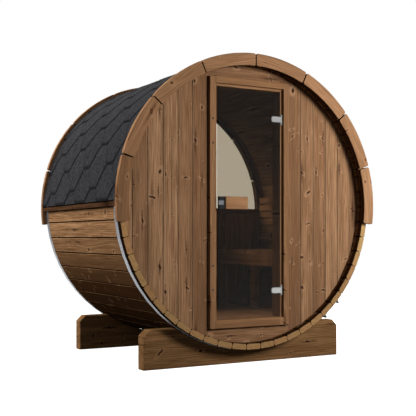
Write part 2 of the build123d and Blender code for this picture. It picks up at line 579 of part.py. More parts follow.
def roof():
    """Shingle covering over the top half, kicked out over an eave batten on each side, and edge boards."""
    inner = BARREL_RADIUS + FIT_GAP + BAND_THICKNESS + FIT_GAP
    outer = inner + COVERING_THICKNESS
    start = COVERING_TANGENT_ANGLE
    cover = arc_face(inner, outer, start, 180.0 - start)
    turn = radians(start)
    corners = []
    for radius in (inner, outer):
        x, z = radius * cos(turn), radius * sin(turn)
        corners.append((x, z))
        corners.append((x + (z - COVERING_EDGE_HEIGHT) * tan(turn), COVERING_EDGE_HEIGHT))
    skirt = make_face(Polyline(corners[0], corners[1], corners[3], corners[2], close=True))
    cover += skirt + mirror(skirt, about=Plane.YZ)
    save("roof_covering", [slab(cover, 0, BARREL_LENGTH)])
    seat = BARREL_RADIUS + FIT_GAP
    batten_front = BAND_FRONT_INSET + BAND_WIDTH + BATTEN_END_GAP
    batten_back = BARREL_LENGTH - BAND_REAR_INSET - BAND_WIDTH - BATTEN_END_GAP
    batten = block(seat, seat + BATTEN_WIDTH, batten_front, batten_back, -BATTEN_HEIGHT, 0)
    save_both("eave_batten_{}", [batten])
    boards = []
    half_gap = degrees(TRIM_PIECE_GAP / 2 / TRIM_OUTER_RADIUS)
    first = 90.0 - TRIM_PIECES / 2 * TRIM_PIECE_ANGLE
    for index in range(TRIM_PIECES):
        a0 = first + index * TRIM_PIECE_ANGLE + half_gap
        a1 = first + (index + 1) * TRIM_PIECE_ANGLE - half_gap
        face = arc_face(TRIM_INNER_RADIUS, TRIM_OUTER_RADIUS, a0, a1)
        boards.append(chamfer(face.vertices(), TRIM_CORNER))
    save("roof_trim_front", [slab(face, -TRIM_THICKNESS - FIT_GAP, -FIT_GAP) for face in boards])
    back = BARREL_LENGTH + FIT_GAP
    save("roof_trim_rear", [slab(face, back, back + TRIM_THICKNESS) for face in boards])


os.makedirs("parts", exist_ok=True)
stave_groups()
cradles()
bands()
front_wall()
door_frame()
door_leaf()
rear_wall()
floor()
benches()
roof()
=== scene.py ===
import bmesh
import bpy
import numpy as np
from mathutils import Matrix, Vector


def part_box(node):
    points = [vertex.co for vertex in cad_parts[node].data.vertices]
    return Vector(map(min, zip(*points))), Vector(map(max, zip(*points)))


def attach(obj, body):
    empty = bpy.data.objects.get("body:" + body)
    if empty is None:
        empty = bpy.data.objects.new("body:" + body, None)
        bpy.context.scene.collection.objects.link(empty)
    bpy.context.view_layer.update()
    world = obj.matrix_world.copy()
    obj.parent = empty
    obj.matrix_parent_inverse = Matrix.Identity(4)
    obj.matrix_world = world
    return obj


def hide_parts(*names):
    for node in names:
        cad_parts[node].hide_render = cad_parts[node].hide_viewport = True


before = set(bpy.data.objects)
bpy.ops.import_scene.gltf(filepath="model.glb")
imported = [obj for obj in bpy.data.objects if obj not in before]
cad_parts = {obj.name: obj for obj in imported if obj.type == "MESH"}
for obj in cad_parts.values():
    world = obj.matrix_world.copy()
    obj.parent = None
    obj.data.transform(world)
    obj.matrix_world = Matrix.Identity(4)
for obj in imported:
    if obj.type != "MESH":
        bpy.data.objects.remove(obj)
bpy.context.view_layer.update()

# Cradles
# Two thick planks of heat-treated spruce on edge, with clipped shoulders and the barrel's arc sawn out of
# their tops. Nothing but the barrel's weight holds it in them. Their sawn edges are eased with a plane.
low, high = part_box("staves_bottom")[0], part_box("staves_top")[1]
front, back = low.y, high.y
axis = (low.z + high.z) / 2
stave_face = (high.z - low.z) / 2
stave_count = 54
half_stave = np.pi / stave_count
barrel_radius = stave_face / np.cos(half_stave)
cradle_clip = 0.043
cradle_ease = 0.004
cradle_fit = 0.0003
saddle_points = 41
# One generator draws what differs from board to board, and each board's grain starts somewhere in a long log
draw = np.random.default_rng(11)
log_length = 40.0


def linear(code):
    """sRGB hex colour as linear RGBA: the sRGB curve undone on each channel."""
    share = np.array([int(code[i:i + 2], 16) for i in (1, 3, 5)]) / 255
    value = np.where(share <= 0.04045, share / 12.92, ((share + 0.055) / 1.055) ** 2.4)
    return (*value.tolist(), 1.0)


def add(tree, kind, settings={}, inputs={}):
    """Add a shader node, set its properties, then set or link inputs by name or number; gives its outputs. A
    MapRange takes its value from the range 1 to 2 into the range 3 to 4; a colour Mix goes from 6 to 7."""
    made = tree.nodes.new("ShaderNode" + kind)
    for key, value in settings.items():
        setattr(made, key, value)
    for key, value in inputs.items():
        if isinstance(value, bpy.types.NodeSocket):
            tree.links.new(value, made.inputs[key])
        else:
            made.inputs[key].default_value = value
    return made.outputs


rgba = {"data_type": "RGBA"}
times = {"operation": "MULTIPLY"}
times_add = {"operation": "MULTIPLY_ADD"}
larger = {"operation": "MAXIMUM"}


def new_finish(name):
    """A new material, with its node tree and the standard shader in it."""
    made = bpy.data.materials.new(name)
    made.use_nodes = True
    return made, made.node_tree, made.node_tree.nodes["Principled BSDF"]


def eased(corners, radius, steps=2):
    """Closed outline with rounded corners: each corner becomes the quadratic curve that starts and ends one
    radius before and after it along its sides and is pulled towards it, with one point more than steps."""
    corners = np.asarray(corners, float)
    radius = np.broadcast_to(np.asarray(radius, float), len(corners))[:, None]
    before = np.roll(corners, 1, 0) - corners
    after = np.roll(corners, -1, 0) - corners
    start = corners + before / np.linalg.norm(before, axis=1, keepdims=True) * radius
    end = corners + after / np.linalg.norm(after, axis=1, keepdims=True) * radius
    t = np.linspace(0, 1, steps + 1)[None, :, None]
    curve = (1 - t) ** 2 * start[:, None] + 2 * t * (1 - t) * corners[:, None] + t ** 2 * end[:, None]
    return curve.reshape(-1, 2)


def carried(outline, stations, insets):
    """A closed outline, anticlockwise, carried along a path: ring k lies at stations[k] and is drawn in by
    insets[k] along the outline's inward normals. Gives across, through and along, with one row a ring."""
    side = np.roll(outline, -1, 0) - outline
    side /= np.linalg.norm(side, axis=1, keepdims=True)
    inward = np.stack([-side[:, 1], side[:, 0]], 1)
    corner = inward + np.roll(inward, 1, 0)
    corner *= 2 / np.sum(corner * corner, axis=1, keepdims=True)
    rings = outline[None] + np.asarray(insets)[:, None, None] * corner[None]
    along = np.broadcast_to(np.asarray(stations, float)[:, None], rings.shape[:2])
    return rings[..., 0], rings[..., 1], along


def lumber(name, parts, finishes, nodes, body="building"):
    """One mesh of several parts. A part is its rings (m, n, 3), the grain's own coordinates there (across,
    through, along, in metres) and a tone for all of it or each point: from 0, deep, to 1, pale; below 0 is
    painted shade in a seam or gap, above 1 a painted highlight on an edge. Rings are skinned with quads, and
    caps take the last finish."""
    points, grains, tones, faces, slots = [], [], [], [], []
    start = 0
    for rings, grain, tone in parts:
        m, n = rings.shape[:2]
        i = start + n * np.arange(m - 1)[:, None]
        j = np.arange(n)
        k = np.roll(j, -1)
        faces += np.stack([i + j, i + k, i + n + k, i + n + j], -1).reshape(-1, 4).tolist()
        faces += [(start + j[::-1]).tolist(), (start + n * (m - 1) + j).tolist()]
        slots += [0] * (n * (m - 1)) + [len(finishes) - 1] * 2
        points.append(rings.reshape(-1, 3))
        grains.append((grain + draw.uniform(0, log_length, 3)).reshape(-1, 3))
        tones.append(np.broadcast_to(tone, (m, n)).ravel())
        start += m * n
    mesh = bpy.data.meshes.new(name)
    mesh.from_pydata(np.concatenate(points).tolist(), [], faces)
    mesh.polygons.foreach_set("material_index", slots)
    grain_data = mesh.attributes.new("grain", "FLOAT_VECTOR", "POINT").data
    grain_data.foreach_set("vector", np.concatenate(grains).ravel())
    tone_data = mesh.attributes.new("tone", "FLOAT", "POINT").data
    tone_data.foreach_set("value", np.concatenate(tones))
    shell = bmesh.new()
    shell.from_mesh(mesh)
    bmesh.ops.recalc_face_normals(shell, faces=shell.faces)
    shell.to_mesh(mesh)
    shell.free()
    for finish in finishes:
        mesh.materials.append(finish)
    piece = bpy.data.objects.new(name, mesh)
    bpy.context.collection.objects.link(piece)
    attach(piece, body)
    if nodes:
        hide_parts(*nodes)


def knots(tree, grain):
    """Up to one knot in each cell of 58 by 260 mm of a board, rough in outline, some drawn out aslant across
    the board as spikes. Gives the shares of its dark heart, the pale collar round it, the flame that it
    throws along the grain and the dark in that flame, each falling off away from the knot's middle."""
    cell = np.array([0.058, 0.5, 0.26])
    ragged = 0.018
    largest = 0.021
    edge = add(tree, "TexNoise", {}, {"Vector": grain, "Scale": 1 / ragged, "Detail": 2.0})["Color"]
    cells = add(tree, "VectorMath", times, {0: grain, 1: 1 / cell})["Vector"]
    cells = add(tree, "VectorMath", times_add, {0: edge, 1: (0.25, 0.0, 0.08), 2: cells})["Vector"]
    spot = add(tree, "TexVoronoi", {}, {"Vector": cells, "Scale": 1.0, "Randomness": 0.75})
    apart = add(tree, "VectorMath", {"operation": "SUBTRACT"}, {0: cells, 1: spot["Position"]})["Vector"]
    apart = add(tree, "VectorMath", times, {0: apart, 1: cell})["Vector"]
    chance = add(tree, "SeparateColor", {}, {0: spot["Color"]})

    # The nearer a knot is to a spike, the longer it is across the board and the thinner along it
    length = add(tree, "MapRange", {}, {"Value": chance[1], 1: 0.3, 2: 0.7, 3: 1.0, 4: 0.42})["Result"]
    thin = add(tree, "MapRange", {}, {"Value": chance[1], 1: 0.3, 2: 0.7, 3: 0.7, 4: 1.9})["Result"]
    stretch = add(tree, "CombineXYZ", {}, {"X": length, "Z": thin})[0]
    offset = add(tree, "SeparateXYZ", {}, {0: apart})
    skew = add(tree, "MapRange", {}, {"Value": chance[2], 1: 0.0, 2: 1.0, 3: -0.9, 4: 0.9})["Result"]
    slant = add(tree, "Math", times_add, {0: offset["X"], 1: skew, 2: offset["Z"]})["Value"]
    near = add(tree, "CombineXYZ", {}, {"X": offset["X"], "Z": slant})[0]
    near = add(tree, "VectorMath", times, {0: near, 1: stretch})["Vector"]
    near = add(tree, "VectorMath", {"operation": "LENGTH"}, {0: near})["Value"]
    far = add(tree, "VectorMath", times, {0: apart, 1: (1.2, 0.0, 0.13)})["Vector"]
    far = add(tree, "VectorMath", {"operation": "LENGTH"}, {0: far})["Value"]

    size = add(tree, "MapRange", {}, {"Value": chance[0], 1: 0.42, 2: 1.0, 3: 0.0, 4: largest})["Result"]
    wide = add(tree, "Math", times, {0: size, 1: 2.2})["Value"]
    core = add(tree, "Math", times, {0: size, 1: 0.35})["Value"]
    soft = {"interpolation_type": "SMOOTHSTEP"}
    heart = add(tree, "MapRange", soft, {"Value": near, 1: size, 2: core})["Result"]
    collar = add(tree, "MapRange", soft, {"Value": near, 1: wide, 2: size})["Result"]
    flame = add(tree, "MapRange", soft, {"Value": far, 1: size, 2: 0.0})["Result"]
    drawn = add(tree, "MapRange", {}, {"Value": chance[2], 1: 0.4, 2: 0.9, 3: 0.1, 4: 0.9})["Result"]
    return heart, collar, flame, add(tree, "Math", times, {0: flame, 1: drawn})["Value"]


def growth(tree, grain, flame):
    """Broad bands of slow noise, and growth rings with fine streaks: the distance across the board, bent by
    the bands into long arches and pushed aside by the knots' flames, is folded once a ring, and noise drawn
    out along the grain is added. Rings are drawn 12 mm and streaks 6 mm wide, coarser than real ones, so
    that they show."""
    band, arch = 0.05, 1.2
    ring = 0.012
    streak, trail = 0.006, 0.2
    slow = add(tree, "VectorMath", times, {0: grain, 1: (1 / band, 1 / band, 1 / arch)})["Vector"]
    bands = add(tree, "TexNoise", {}, {"Vector": slow, "Scale": 1.0, "Detail": 2.0})["Fac"]
    across = add(tree, "SeparateXYZ", {}, {0: grain})["X"]
    bend = add(tree, "Math", times_add, {0: bands, 1: 0.06, 2: across})["Value"]
    bend = add(tree, "Math", times_add, {0: flame, 1: 0.03, 2: bend})["Value"]
    turns = add(tree, "Math", {"operation": "DIVIDE"}, {0: bend, 1: ring})["Value"]
    rings = add(tree, "Math", {"operation": "PINGPONG"}, {0: turns, 1: 0.5})["Value"]
    fine = add(tree, "VectorMath", times, {0: grain, 1: (1 / streak, 1 / streak, 1 / trail)})["Vector"]
    lines = add(tree, "TexNoise", {}, {"Vector": fine, "Scale": 1.0, "Detail": 3.0, "Roughness": 0.6})["Fac"]
    return bands, add(tree, "Math", times_add, {0: rings, 1: 0.36, 2: lines})["Value"]


def spruce(name, pale, deep, streak, knot, rough=0.62, object_grain=False):
    """Planed heat-treated spruce, dry and without gloss: boards between two browns with broad lighter and
    darker bands, growth rings and streaks along the grain, knots, a painted highlight on rounded edges and
    painted shade in seams. Pieces without a grain of their own take it from Object coordinates, with a tone
    for each slat's section."""
    slat = (0.132, 0.061, 9.0)
    made, tree, surface = new_finish(name)
    if object_grain:
        place = add(tree, "SeparateXYZ", {}, {0: add(tree, "TexCoord")["Object"]})
        grain = add(tree, "CombineXYZ", {}, {"X": place["X"], "Y": place["Z"], "Z": place["Y"]})[0]
        cell = add(tree, "VectorMath", {"operation": "SNAP"}, {0: grain, 1: slat})["Vector"]
        tone = add(tree, "TexWhiteNoise", {}, {"Vector": cell})["Value"]
    else:
        grain = add(tree, "Attribute", {"attribute_name": "grain"})["Vector"]
        tone = add(tree, "Attribute", {"attribute_name": "tone"})["Fac"]
    heart, collar, flame, dark = knots(tree, grain)
    bands, lines = growth(tree, grain, flame)

    board = add(tree, "Mix", rgba, {0: tone, 6: linear(deep), 7: linear(pale)})[2]
    level = add(tree, "MapRange", {}, {"Value": bands, 1: 0.3, 2: 0.7, 3: 0.74, 4: 1.22})["Result"]
    board = add(tree, "VectorMath", {"operation": "SCALE"}, {0: board, "Scale": level})["Vector"]
    share = add(tree, "MapRange", {}, {"Value": lines, 1: 0.42, 2: 0.84, 3: 0.0, 4: 0.95})["Result"]
    light = add(tree, "Math", times, {0: collar, 1: 0.55})["Value"]
    edge_highlight = add(tree, "MapRange", {}, {"Value": tone, 1: 1.1, 2: 2.0, 3: 0.0, 4: 0.5})["Result"]
    seam_shade = add(tree, "MapRange", {}, {"Value": tone, 1: -0.1, 2: -0.6, 3: 0.0, 4: 1.0})["Result"]
    # The pale edge colour is a painted highlight, and the near-black one is painted shade in seams and gaps
    layers = ((share, streak), (light, pale), (dark, knot), (heart, knot),
              (edge_highlight, "#d6b08a"), (seam_shade, "#0e0805"))
    for amount, colour in layers:
        board = add(tree, "Mix", rgba, {0: amount, 6: board, 7: linear(colour)})[2]
    tree.links.new(board, surface.inputs["Base Color"])
    smooth, coarse = rough - 0.08, rough + 0.1
    dull = add(tree, "MapRange", {}, {"Value": lines, 1: 0.3, 2: 0.8, 3: smooth, 4: coarse})["Result"]
    tree.links.new(dull, surface.inputs["Roughness"])
    relief = add(tree, "Bump", {}, {"Height": lines, "Strength": 0.35, "Distance": 0.0008})["Normal"]
    tree.links.new(relief, surface.inputs["Normal"])
    surface.inputs["Specular IOR Level"].default_value = 0.0
    return made


cradle_finish = spruce("Sawn heat-treated spruce", "#96704c", "#86623f", "#55381f", "#2a180f")
saddle = barrel_radius + cradle_fit
for end in ("front", "rear"):
    low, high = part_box(f"cradle_{end}")
    half, top = high.x, high.z
    reach = np.arccos((axis - top) / saddle)
    turn = np.linspace(-reach, reach, saddle_points)[::-1]
    arc = np.stack([saddle * np.sin(turn), axis - saddle * np.cos(turn)], 1)
    shoulder = [(-half, 0.0), (half, 0.0), (half, top - cradle_clip), (half - cradle_clip, top)]
    outline = np.concatenate([shoulder, arc, [(cradle_clip - half, top), (-half, top - cradle_clip)]])
    stations = (low.y, low.y + cradle_ease, high.y - cradle_ease, high.y)
    x, z, y = carried(outline, stations, (cradle_ease, 0.0, 0.0, cradle_ease))
    plank = (np.stack([x, y, z], -1), np.stack([z, y, x], -1), 0.5)
    lumber(f"cradle_{end}_plank", [plank], [cradle_finish], [f"cradle_{end}"])

# Staves
# Fifty-four boards of heat-treated spruce, planed to a wedge section to close into a barrel, with a
# V joint where the eased edges of two meet. Their sawn ends show as a ring round the end walls. The low
# ones are painted darker, as painted shade, and the joints carry painted shade too.
stave_thickness = 0.042
stave_joint = 0.0004
stave_bevel = 0.0030
stave_slit = 0.0076
stave_slit_depth = 0.007
stave_shoulder = 0.0018
stave_end_ease = 0.0015
seam_shade_fade = 0.001
tone_spread = 0.15
seam_shade_tone = -1.0
end_tone = 0.3
edge_highlight_tone, edge_highlight_gain = 1.1, 0.5
# Painted shade: a stave's tone goes by the cosine of its angle from the top, deeper on the low staves
stave_cosines = (-0.55, -0.38, -0.25)
stave_shade_tones = (0.05, 0.35, 0.8)
groups = ("top", "upper_right", "lower_right", "bottom", "lower_left", "upper_left")
per_group = stave_count // len(groups)
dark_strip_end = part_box("band_front")[0].y
low_shade_top, low_shade_full = -0.28, -0.66
low_shade_share = 0.48

stave_finish = spruce("Heat-treated spruce staves", "#b0865f", "#4a3019", "#593922", "#332015")

# Sawn end grain: growth rings seen end on, drawn 7 mm apart so that they show, on a rough dull face
end_ring, end_ring_length = 0.007, 0.03
log_cell = 0.1
end_finish, tree, surface = new_finish("Heat-treated spruce end grain")
grain = add(tree, "Attribute", {"attribute_name": "grain"})["Vector"]
tone = add(tree, "Attribute", {"attribute_name": "tone"})["Fac"]
section = add(tree, "VectorMath", times, {0: grain, 1: (1 / end_ring_length, 1 / end_ring, 0.0)})["Vector"]
rings = add(tree, "TexNoise", {}, {"Vector": section, "Scale": 1.0, "Detail": 3.0})["Fac"]
# Sapwood is yellower than heartwood, so the ends differ from one stave to the next
along = add(tree, "SeparateXYZ", {}, {0: grain})["Z"]
log = add(tree, "Math", {"operation": "SNAP"}, {0: along, 1: log_cell})["Value"]
heart = add(tree, "TexWhiteNoise", {"noise_dimensions": "1D"}, {"W": log})["Value"]
wood = add(tree, "Mix", rgba, {0: heart, 6: linear("#c49f68"), 7: linear("#bb8559")})[2]
board = add(tree, "Mix", rgba, {0: tone, 6: linear("#927048"), 7: wood})[2]
share = add(tree, "MapRange", {}, {"Value": rings, 1: 0.4, 2: 0.7, 3: 0.0, 4: 0.6})["Result"]
board = add(tree, "Mix", rgba, {0: share, 6: board, 7: linear("#6b4d2b")})[2]
tree.links.new(board, surface.inputs["Base Color"])
surface.inputs["Roughness"].default_value = 0.8
relief = add(tree, "Bump", {}, {"Height": rings, "Strength": 0.3, "Distance": 0.001})["Normal"]
tree.links.new(relief, surface.inputs["Normal"])

# The strip of each stave in front of the band is darkened, less so on its inner face, which lies in the
# recess ahead of the front wall, where the dark is painted shade
tree = stave_finish.node_tree
surface = tree.nodes["Principled BSDF"]
place = add(tree, "SeparateXYZ", {}, {0: add(tree, "TexCoord")["Object"]})
height = add(tree, "Math", {"operation": "SUBTRACT"}, {0: place["Z"], 1: axis})["Value"]
spoke = add(tree, "CombineXYZ", {}, {"X": place["X"], "Y": height})[0]
spoke = add(tree, "VectorMath", {"operation": "LENGTH"}, {0: spoke})["Value"]
stave_middle = stave_face - stave_thickness / 2
outside = add(tree, "Math", {"operation": "GREATER_THAN"}, {0: spoke, 1: stave_middle})["Value"]
strip_darkness = add(tree, "MapRange", {}, {"Value": outside, 1: 0.0, 2: 1.0, 3: 0.75, 4: 1.0})["Result"]
ahead = add(tree, "Math", {"operation": "LESS_THAN"}, {0: place["Y"], 1: dark_strip_end})["Value"]
dark_strip_and_shade = add(tree, "Math", times, {0: strip_darkness, 1: ahead})["Value"]
# Painted shade: the outside is darkened the more, the lower it is
low_shade = add(tree, "MapRange", {},
           {"Value": height, 1: low_shade_top, 2: low_shade_full, 3: 0.0, 4: low_shade_share})["Result"]
low_shade = add(tree, "Math", times, {0: low_shade, 1: outside})["Value"]
dark_strip_and_shade = add(tree, "Math", larger, {0: dark_strip_and_shade, 1: low_shade})["Value"]
colour = surface.inputs["Base Color"].links[0].from_socket
colour = add(tree, "Mix", rgba, {0: dark_strip_and_shade, 6: colour, 7: linear("#20150e")})[2]
tree.links.new(colour, surface.inputs["Base Color"])

inner_face = stave_face - stave_thickness
inner_shelf, outer_shelf = inner_face + stave_slit_depth, stave_face - stave_slit_depth
rises = np.array([inner_face, inner_shelf, inner_shelf, outer_shelf, outer_shelf, stave_face])
cuts = np.array([1, 1, 0, 0, 1, 1]) * stave_slit / 2
right = np.stack([rises * np.tan(half_stave) - stave_joint / 2 - cuts, rises], 1)
tight = stave_joint / 2
easing = np.array([stave_bevel, tight, stave_shoulder, stave_shoulder, tight, stave_bevel])
outline = eased(np.concatenate([right, right[::-1] * (-1, 1)]), np.concatenate([easing, easing[::-1]]))
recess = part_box("front_wall_right")[0].y
stations = (front, front + stave_end_ease, recess, recess + seam_shade_fade, back - stave_end_ease, back)
across, through, along = carried(outline, stations, (stave_end_ease, 0.0, 0.0, 0.0, 0.0, stave_end_ease))
# Three points a corner and eighteen a side: points 2 to 15 lie in the joint, point 16 on the outer edge and
# point 17 on the outer face, and the other side has them the other way round
side_point = np.arange(len(outline) // 2)
seam_shade = np.tile((side_point >= 2) & (side_point <= 15), 2)
outer_seam = seam_shade & (through[2] > (inner_face + stave_face) / 2)
outer_edges, outer_point = [16, 19], 17
for group, name in enumerate(groups):
    parts = []
    for index in range(per_group):
        turn = (group * per_group - per_group // 2 + index) * 2 * half_stave
        x = through * np.sin(turn) + across * np.cos(turn)
        z = axis + through * np.cos(turn) - across * np.sin(turn)
        tone = draw.uniform(-tone_spread, tone_spread) + np.interp(np.cos(turn), stave_cosines, stave_shade_tones)
        tones = np.full(across.shape, tone)
        tones[[0, -1]] += end_tone
        # Painted shade in the joints, all of them ahead of the front wall and the outer ones behind it, and
        # a painted highlight on the outer edges
        tones[1:3, seam_shade] = tones[3:5, outer_seam] = seam_shade_tone
        tones[1:5, outer_edges] = edge_highlight_tone + edge_highlight_gain * tones[1, outer_point]
        parts.append((np.stack([x, along, z], -1), np.stack([across, through, along], -1), tones))
    lumber(f"staves_{name}_boards", parts, [stave_finish, end_finish], [f"staves_{name}"])

# Steel bands
# Two hoops of galvanised strip, drawn tight round the staves by a black screw tensioner low on the right.
# They stay as the CAD model has them and get their finish here.


def coat(finish, *names):
    """Give CAD nodes a finish in place of the one they came with."""
    for name in names:
        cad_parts[name].data.materials.clear()
        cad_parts[name].data.materials.append(finish)


# Zinc gives the strip a dull grey shine with a faint spangle, 12 mm across
spangle_size = 0.012
band_finish, tree, surface = new_finish("Galvanised steel strip")
place = add(tree, "TexCoord")["Object"]
spangle = add(tree, "TexVoronoi", {}, {"Vector": place, "Scale": 1 / spangle_size})["Distance"]
colour = add(tree, "Mix", rgba, {0: spangle, 6: linear("#808285"), 7: linear("#64666a")})[2]
tree.links.new(colour, surface.inputs["Base Color"])
dull = add(tree, "MapRange", {}, {"Value": spangle, 1: 0.0, 2: 1.0, 3: 0.36, 4: 0.55})["Result"]
tree.links.new(dull, surface.inputs["Roughness"])
surface.inputs["Metallic"].default_value = 0.85

# Black oxide is thin and oiled, so the steel is nearly black with a soft, slightly mottled shine
oxide_mottle = 0.006
black_finish, tree, surface = new_finish("Black oxide steel")
place = add(tree, "TexCoord")["Object"]
mottle = add(tree, "TexNoise", {}, {"Vector": place, "Scale": 1 / oxide_mottle})["Fac"]
colour = add(tree, "Mix", rgba, {0: mottle, 6: linear("#0e0e0f"), 7: linear("#242426")})[2]
tree.links.new(colour, surface.inputs["Base Color"])
dull = add(tree, "MapRange", {}, {"Value": mottle, 1: 0.2, 2: 0.8, 3: 0.4, 4: 0.6})["Result"]
tree.links.new(dull, surface.inputs["Roughness"])
surface.inputs["Metallic"].default_value = 0.6
coat(band_finish, "band_front", "band_rear")
coat(black_finish, "band_tensioners")

# Floor and benches
# Planed softwood boards on cross bearers, and on each side a slatted seat on bearers with a front board, a
# leg and a slatted backrest. They are left bare inside the cabin.
inner_finish = spruce("Bare inner spruce", "#bd906a", "#9d724e", "#80593b", "#4a2f1d", object_grain=True)
coat(inner_finish, "floor_boards", "floor_bearers")
for side in ("right", "left"):
    bench = [f"bench_{side}_{member}" for member in ("seat", "front_board", "supports")]
    coat(inner_finish, *bench, f"backrest_{side}")

# Front wall
# Upright tongue-and-groove boards of heat-treated spruce let into the staves, with a V joint between them,
# and a curved board over the door and another under it with their grain level.
wall_pitch = 0.110
wall_joint = 0.0036
wall_bevel = 0.0042
wall_tongue = 0.0033
wall_scribe = 0.0006
crease = 0.0003
level_ease = 0.003
level_rings = 25
# Both level boards take a deep tone: painted shade for the shade under the roof edge boards on the header,
# and the sill board takes the same
level_shade_tone = 0.2
highlight_tone = 2.0
wall_finish = spruce("Heat-treated spruce cladding", "#bd936e", "#8b674b", "#6b482e", "#39231a")
wall_low, wall_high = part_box("front_wall_right")
wall_front, wall_back = wall_low.y, wall_high.y
door_edge = wall_low.x
wall_radius = inner_face - wall_scribe


def upright_board(x0, x1, y0, y1, foot, head):
    """A board standing between two X places: a rectangle with rounded corners and a tongue along its right
    edge, carried up from foot(x) to head(x), so that each corner ends on the wall's outline at its own X."""
    third = (y1 - y0) / 3
    tip = x1 + min(wall_tongue, (wall_radius - x1) / 2)
    corners = [(x0, y0), (x1, y0), (x1, y0 + third), (tip, y0 + third), (tip, y1 - third), (x1, y1 - third),
               (x1, y1), (x0, y1)]
    bevel = min(wall_bevel, (x1 - x0) / 3)
    section = eased(corners, (bevel, bevel, crease, crease, crease, crease, bevel, bevel))
    x, y, up = carried(section, (0.0, 1.0), (0.0, 0.0))
    z = foot(x) + up * (head(x) - foot(x))
    # Three points a corner: 1 to 4 lie on the front face, 19 to 22 on the back one, the rest in the joints
    # The joints get painted shade and the rounded front edges a painted highlight
    tones = np.full(len(section), seam_shade_tone)
    tones[1:5] = tones[19:23] = draw.uniform(0.0, 1.0)
    tones[[1, 4]] = highlight_tone
    return np.stack([x, y, z], -1), np.stack([x, y, z], -1), tones


def rim(x):
    """Half the height of the round wall at X: the circle's chord."""
    return np.sqrt(np.maximum(wall_radius ** 2 - x ** 2, 0.0))


def level_board(z_edge, sign, half, y0, y1):
    """A board lying between plus and minus half, straight along one edge at height z_edge and round along
    the other, which is the wall's own circle above or below the axis."""
    section = eased([(0.0, y1), (1.0, y1), (1.0, y0), (0.0, y0)], level_ease)
    share, y, x = carried(section, np.linspace(-half, half, level_rings), np.zeros(level_rings))
    z = axis + sign * (z_edge + share * (rim(x) - z_edge))
    return np.stack([x, y, z], -1), np.stack([z, y, x], -1), level_shade_tone


for side, sign in (("right", 1), ("left", -1)):
    parts = []
    edges = np.append(np.arange(door_edge, wall_radius, wall_pitch), wall_radius)
    for near, far in zip(edges[:-1], edges[1:]):
        x0, x1 = sorted((sign * (near + wall_joint / 2), sign * (far - wall_joint / 2)))
        board = upright_board(x0, x1, wall_front, wall_back,
                              lambda x: axis - rim(x), lambda x: axis + rim(x))
        parts.append(board)
    lumber(f"front_wall_{side}_boards", parts, [wall_finish], [f"front_wall_{side}"])
for name, sign in (("header", 1), ("sill_board", -1)):
    low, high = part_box(f"front_wall_{name}")
    edge = low.z - axis if sign > 0 else axis - high.z
    plank = level_board(edge, sign, high.x, wall_front, wall_back)
    lumber(f"front_wall_{name}_plank", [plank], [wall_finish], [f"front_wall_{name}"])

# Door frame
# Deep jambs, head and threshold of the same spruce, planed smooth and rebated for the glass, standing proud
# of the wall with a shadow gap round them. Their edges are rounded over by a couple of millimetres.
frame_ease = 0.0025
frame_face = 0.043
frame_lip = 0.018
frame_rebate = 0.021
shadow_gap = 0.0097
shadow_gap_depth = 0.010
jamb_tone, rebate_shade_tone, gap_shade_tone = 0.8, -0.45, 0.1
rail_tone, rail_back_tone = 0.4, 0.6
screw_radius = 0.0068
screw_sides = 12
screw_shares = (1.0, 1.0, 0.8, 0.1)
screw_lifts = (-0.0006, 0.0002, 0.0008, 0.0010)
screw_heights = (0.575, 0.410, -0.420, -0.582)
frame_finish = spruce("Planed spruce door frame", "#a67d5a", "#916a48", "#775338", "#4b301e")


def squared(low, high, along, ease, tone):
    """A squared timber between two corners: an eased rectangle carried along, drawn in at its ends."""
    a, b = [i for i in range(3) if i != along]
    corners = [(low[a], low[b]), (high[a], low[b]), (high[a], high[b]), (low[a], high[b])]
    stations = (low[along], low[along] + ease, high[along] - ease, high[along])
    p, q, s = carried(eased(corners, ease), stations, (ease / 2, 0.0, 0.0, ease / 2))
    rings = np.empty((*p.shape, 3))
    rings[..., a], rings[..., b], rings[..., along] = p, q, s
    return rings, np.stack([p, q, s], -1), tone


low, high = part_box("door_jamb_right")
proud, deep = low.y, high.y
outer = high.x - shadow_gap
inner = outer - frame_face
lip = low.x
seat = proud + frame_rebate
gap_floor = wall_front + shadow_gap_depth
# The shadow gap goes round the jambs' ends too, so their proud part is shorter than the part in the wall.
# Three points a corner: 7 and 8 lie on the floor of that gap, 15 and 16 in the rebate.
corners = [(inner, proud), (outer, proud), (outer, gap_floor), (lip, gap_floor), (lip, seat), (inner, seat)]
section = eased(corners, (frame_ease, frame_ease, crease, crease, frame_ease, frame_ease))
proud_part = np.stack(carried(section, (low.z + shadow_gap, high.z - shadow_gap), (0.0, 0.0)), -1)
tones = np.full(len(section), jamb_tone)
# Painted shade: a deeper tone on the gap's floor and the part in the wall, and seam shade in the rebate
tones[[7, 8]] = 0.0
tones[[15, 16]] = rebate_shade_tone
corners = [(lip, gap_floor), (high.x, gap_floor), (high.x, deep), (lip, deep)]
section = eased(corners, (crease, crease, frame_ease, frame_ease))
wall_part = np.stack(carried(section, (low.z, high.z), (0.0, 0.0)), -1)
for side, sign in (("right", 1), ("left", -1)):
    mirror = (sign, 1, 1)
    parts = [(proud_part * mirror, proud_part, tones), (wall_part * mirror, wall_part, gap_shade_tone)]
    lumber(f"door_jamb_{side}_post", parts, [frame_finish], [f"door_jamb_{side}"])

